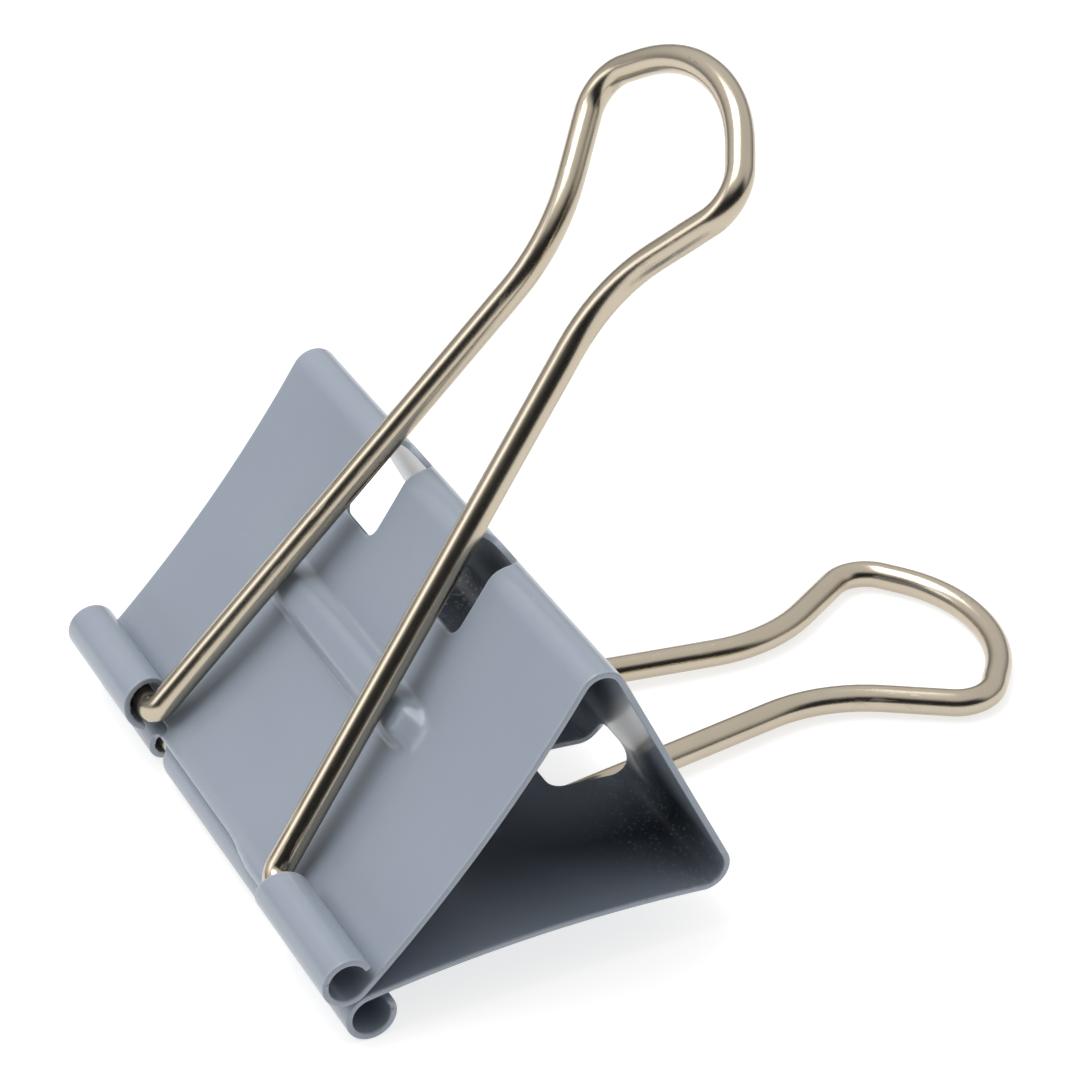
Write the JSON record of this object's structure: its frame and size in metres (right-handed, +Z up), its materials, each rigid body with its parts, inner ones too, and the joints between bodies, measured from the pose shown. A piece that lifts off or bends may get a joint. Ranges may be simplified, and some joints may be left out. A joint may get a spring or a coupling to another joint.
{
  "type": "binder clip",
  "caption": "Large spring-steel binder clip with bowed jaws, rolled lips, windowed bends and bent wire handles, lying with one handle up.",
  "frame": {"origin": "centre of the bounding box's footprint, on the surface the clip lies on", "axes": "+Z up; +X from the lips towards the handle loops; Y along the lips, the clip's mirror plane being Y = 0"},
  "size_m": [0.0708, 0.0508, 0.0576],
  "materials": {
    "painted_steel": "blue-grey satin enamel on spring steel, inside and out",
    "plated_wire": "bright nickel-plated wire with a warm tint and fine scuffs"
  },
  "bodies": {
    "spine": {"spine": "painted_steel"},
    "upper_jaw": {"upper_jaw": "painted_steel"},
    "lower_jaw": {"lower_jaw": "painted_steel"},
    "upper_handle": {"upper_handle": "plated_wire"},
    "lower_handle": {"lower_handle": "plated_wire"}
  },
  "joints": [
    {"name": "lower_jaw_bend", "type": "hinge", "parent": "spine", "child": "lower_jaw", "pos_m": [-0.0028, 0, 0.00679], "axis": [0, -1, 0], "range_deg": [0, 26], "stiffness_Nm_per_rad": 0.15, "springref_deg": -11.46},
    {"name": "upper_jaw_bend", "type": "hinge", "parent": "spine", "child": "upper_jaw", "pos_m": [-0.01143, 0, 0.02494], "axis": [0, 1, 0], "range_deg": [0, 26], "stiffness_Nm_per_rad": 0.15, "springref_deg": -11.46},
    {"name": "upper_handle_turn", "type": "hinge", "parent": "upper_jaw", "child": "upper_handle", "pos_m": [-0.03336, 0, 0.00561], "axis": [0, -1, 0], "range_deg": [0, 154]},
    {"name": "lower_handle_turn", "type": "hinge", "parent": "lower_jaw", "child": "lower_handle", "pos_m": [-0.03164, 0, 0.002], "axis": [0, 1, 0], "range_deg": [0, 154]}
  ],
  "couplings": [
    {"joint": "upper_jaw_bend", "follows": "lower_jaw_bend", "ratio": 1}
  ]
}
